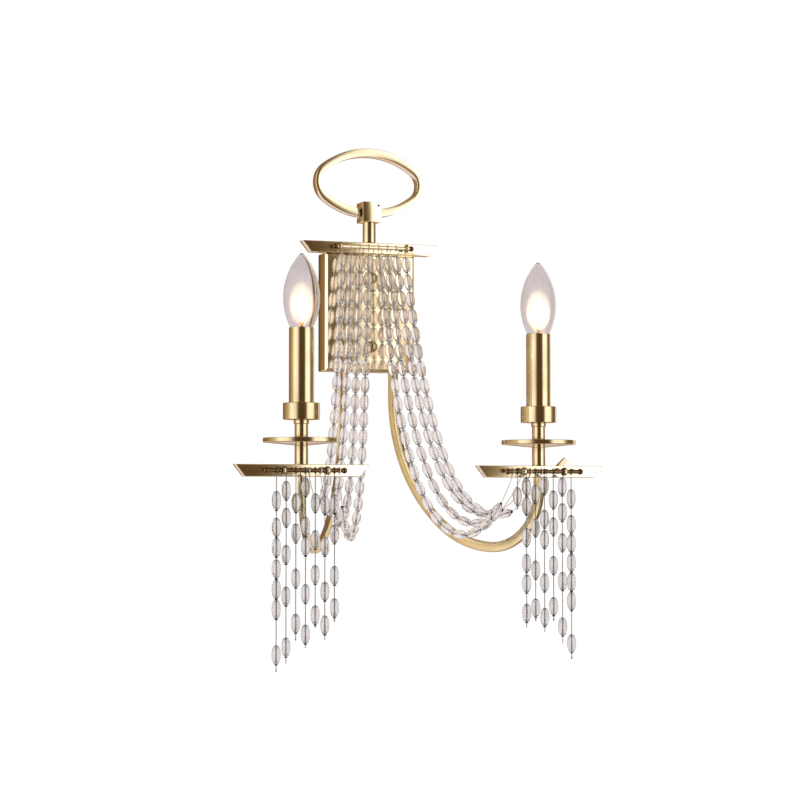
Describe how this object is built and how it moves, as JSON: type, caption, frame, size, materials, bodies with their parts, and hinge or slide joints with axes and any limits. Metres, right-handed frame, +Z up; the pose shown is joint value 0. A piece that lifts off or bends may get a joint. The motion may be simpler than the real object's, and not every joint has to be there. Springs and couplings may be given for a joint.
{
  "type": "candle wall light",
  "caption": "Wall light with a box, oval ring, curved arms with candle lamps, and clear bead strands in swags and fringes.",
  "frame": {"origin": "on the wall plane, at the middle of the wall box's back", "axes": "+Z up, +X to the right seen from the room, +Y into the wall; the light stands out towards -Y"},
  "size_m": [0.3556, 0.2025, 0.4957],
  "materials": {
    "satin_brass": "satin, brushed champagne brass",
    "polished_brass": "polished",
    "dark_brass": "satin, darkened",
    "zinc_steel": "zinc plated",
    "dark_steel": "blackened",
    "green_screw": "green lacquered",
    "connector_plastic": "moulded",
    "socket_plastic": "moulded",
    "lead_insulation": "extruded",
    "bulb_glass": "clear blown glass",
    "bulb_metal": "plated shell",
    "clear_beads": "clear moulded beads",
    "strand_wire": "bright wire"
  },
  "bodies": {
    "fixture": {"back_pan": "satin_brass", "face_plate": "polished_brass", "crossbar": "zinc_steel", "canopy_studs": "zinc_steel", "finial_nuts": "satin_brass", "earth_screw": "green_screw", "lead_connectors": "connector_plastic", "bar_screws": "zinc_steel", "arm_nuts": "zinc_steel", "top_bar": "satin_brass", "top_stem": "satin_brass", "clamp_block": "polished_brass", "clamp_screw": "dark_steel", "ring": "satin_brass", "top_rod": "dark_brass", "rod_eyes": "satin_brass", "rod_knobs": "dark_brass", "lead_wires": "lead_insulation", "collars": "satin_brass", "rear_tab": "satin_brass", "arm_left": "satin_brass", "arm_right": "satin_brass", "lower_bar_left": "satin_brass", "lower_bar_right": "satin_brass", "lower_rod_left": "dark_brass", "lower_rod_right": "dark_brass", "threaded_tube_left": "zinc_steel", "threaded_tube_right": "zinc_steel", "candle_stem_left": "satin_brass", "candle_stem_right": "satin_brass", "disc_left": "satin_brass", "disc_right": "satin_brass", "cup_left": "satin_brass", "cup_right": "satin_brass", "sleeve_left": "satin_brass", "sleeve_right": "satin_brass", "socket_left": "socket_plastic", "socket_right": "socket_plastic", "swags_left": "clear_beads", "swags_right": "clear_beads", "swag_wires_left": "strand_wire", "swag_wires_right": "strand_wire"},
    "bulb_left": {"bulb_glass_left": "bulb_glass", "bulb_base_left": "bulb_metal"},
    "bulb_right": {"bulb_glass_right": "bulb_glass", "bulb_base_right": "bulb_metal"},
    "fringe_left_1": {"fringe_left_1": "clear_beads"},
    "fringe_left_2": {"fringe_left_2": "clear_beads"},
    "fringe_left_3": {"fringe_left_3": "clear_beads"},
    "fringe_left_4": {"fringe_left_4": "clear_beads"},
    "fringe_left_5": {"fringe_left_5": "clear_beads"},
    "fringe_left_6": {"fringe_left_6": "clear_beads"},
    "fringe_left_7": {"fringe_left_7": "clear_beads"},
    "fringe_right_1": {"fringe_right_1": "clear_beads"},
    "fringe_right_2": {"fringe_right_2": "clear_beads"},
    "fringe_right_3": {"fringe_right_3": "clear_beads"},
    "fringe_right_4": {"fringe_right_4": "clear_beads"},
    "fringe_right_5": {"fringe_right_5": "clear_beads"},
    "fringe_right_6": {"fringe_right_6": "clear_beads"},
    "fringe_right_7": {"fringe_right_7": "clear_beads"}
  },
  "joints": [
    {"name": "bulb_left_lift", "type": "slide", "parent": "fixture", "child": "bulb_left", "axis": [0, 0, 1], "range_m": [0, 0.024]},
    {"name": "bulb_right_lift", "type": "slide", "parent": "fixture", "child": "bulb_right", "axis": [0, 0, 1], "range_m": [0, 0.024]},
    {"name": "fringe_left_1_swing", "type": "hinge", "parent": "fixture", "child": "fringe_left_1", "pos_m": [-0.1423, -0.181, -0.1565], "axis": [1, 0, 0], "range_deg": [-25, 2]},
    {"name": "fringe_left_2_swing", "type": "hinge", "parent": "fixture", "child": "fringe_left_2", "pos_m": [-0.1333, -0.181, -0.1565], "axis": [1, 0, 0], "range_deg": [-25, 2]},
    {"name": "fringe_left_3_swing", "type": "hinge", "parent": "fixture", "child": "fringe_left_3", "pos_m": [-0.1243, -0.181, -0.1565], "axis": [1, 0, 0], "range_deg": [-25, 2]},
    {"name": "fringe_left_4_swing", "type": "hinge", "parent": "fixture", "child": "fringe_left_4", "pos_m": [-0.1153, -0.181, -0.1565], "axis": [1, 0, 0], "range_deg": [-25, 2]},
    {"name": "fringe_left_5_swing", "type": "hinge", "parent": "fixture", "child": "fringe_left_5", "pos_m": [-0.1063, -0.181, -0.1565], "axis": [1, 0, 0], "range_deg": [-25, 2]},
    {"name": "fringe_left_6_swing", "type": "hinge", "parent": "fixture", "child": "fringe_left_6", "pos_m": [-0.0973, -0.181, -0.1565], "axis": [1, 0, 0], "range_deg": [-25, 2]},
    {"name": "fringe_left_7_swing", "type": "hinge", "parent": "fixture", "child": "fringe_left_7", "pos_m": [-0.0883, -0.181, -0.1565], "axis": [1, 0, 0], "range_deg": [-25, 2]},
    {"name": "fringe_right_1_swing", "type": "hinge", "parent": "fixture", "child": "fringe_right_1", "pos_m": [0.0883, -0.181, -0.1565], "axis": [1, 0, 0], "range_deg": [-25, 2]},
    {"name": "fringe_right_2_swing", "type": "hinge", "parent": "fixture", "child": "fringe_right_2", "pos_m": [0.0973, -0.181, -0.1565], "axis": [1, 0, 0], "range_deg": [-25, 2]},
    {"name": "fringe_right_3_swing", "type": "hinge", "parent": "fixture", "child": "fringe_right_3", "pos_m": [0.1063, -0.181, -0.1565], "axis": [1, 0, 0], "range_deg": [-25, 2]},
    {"name": "fringe_right_4_swing", "type": "hinge", "parent": "fixture", "child": "fringe_right_4", "pos_m": [0.1153, -0.181, -0.1565], "axis": [1, 0, 0], "range_deg": [-25, 2]},
    {"name": "fringe_right_5_swing", "type": "hinge", "parent": "fixture", "child": "fringe_right_5", "pos_m": [0.1243, -0.181, -0.1565], "axis": [1, 0, 0], "range_deg": [-25, 2]},
    {"name": "fringe_right_6_swing", "type": "hinge", "parent": "fixture", "child": "fringe_right_6", "pos_m": [0.1333, -0.181, -0.1565], "axis": [1, 0, 0], "range_deg": [-25, 2]},
    {"name": "fringe_right_7_swing", "type": "hinge", "parent": "fixture", "child": "fringe_right_7", "pos_m": [0.1423, -0.181, -0.1565], "axis": [1, 0, 0], "range_deg": [-25, 2]}
  ]
}
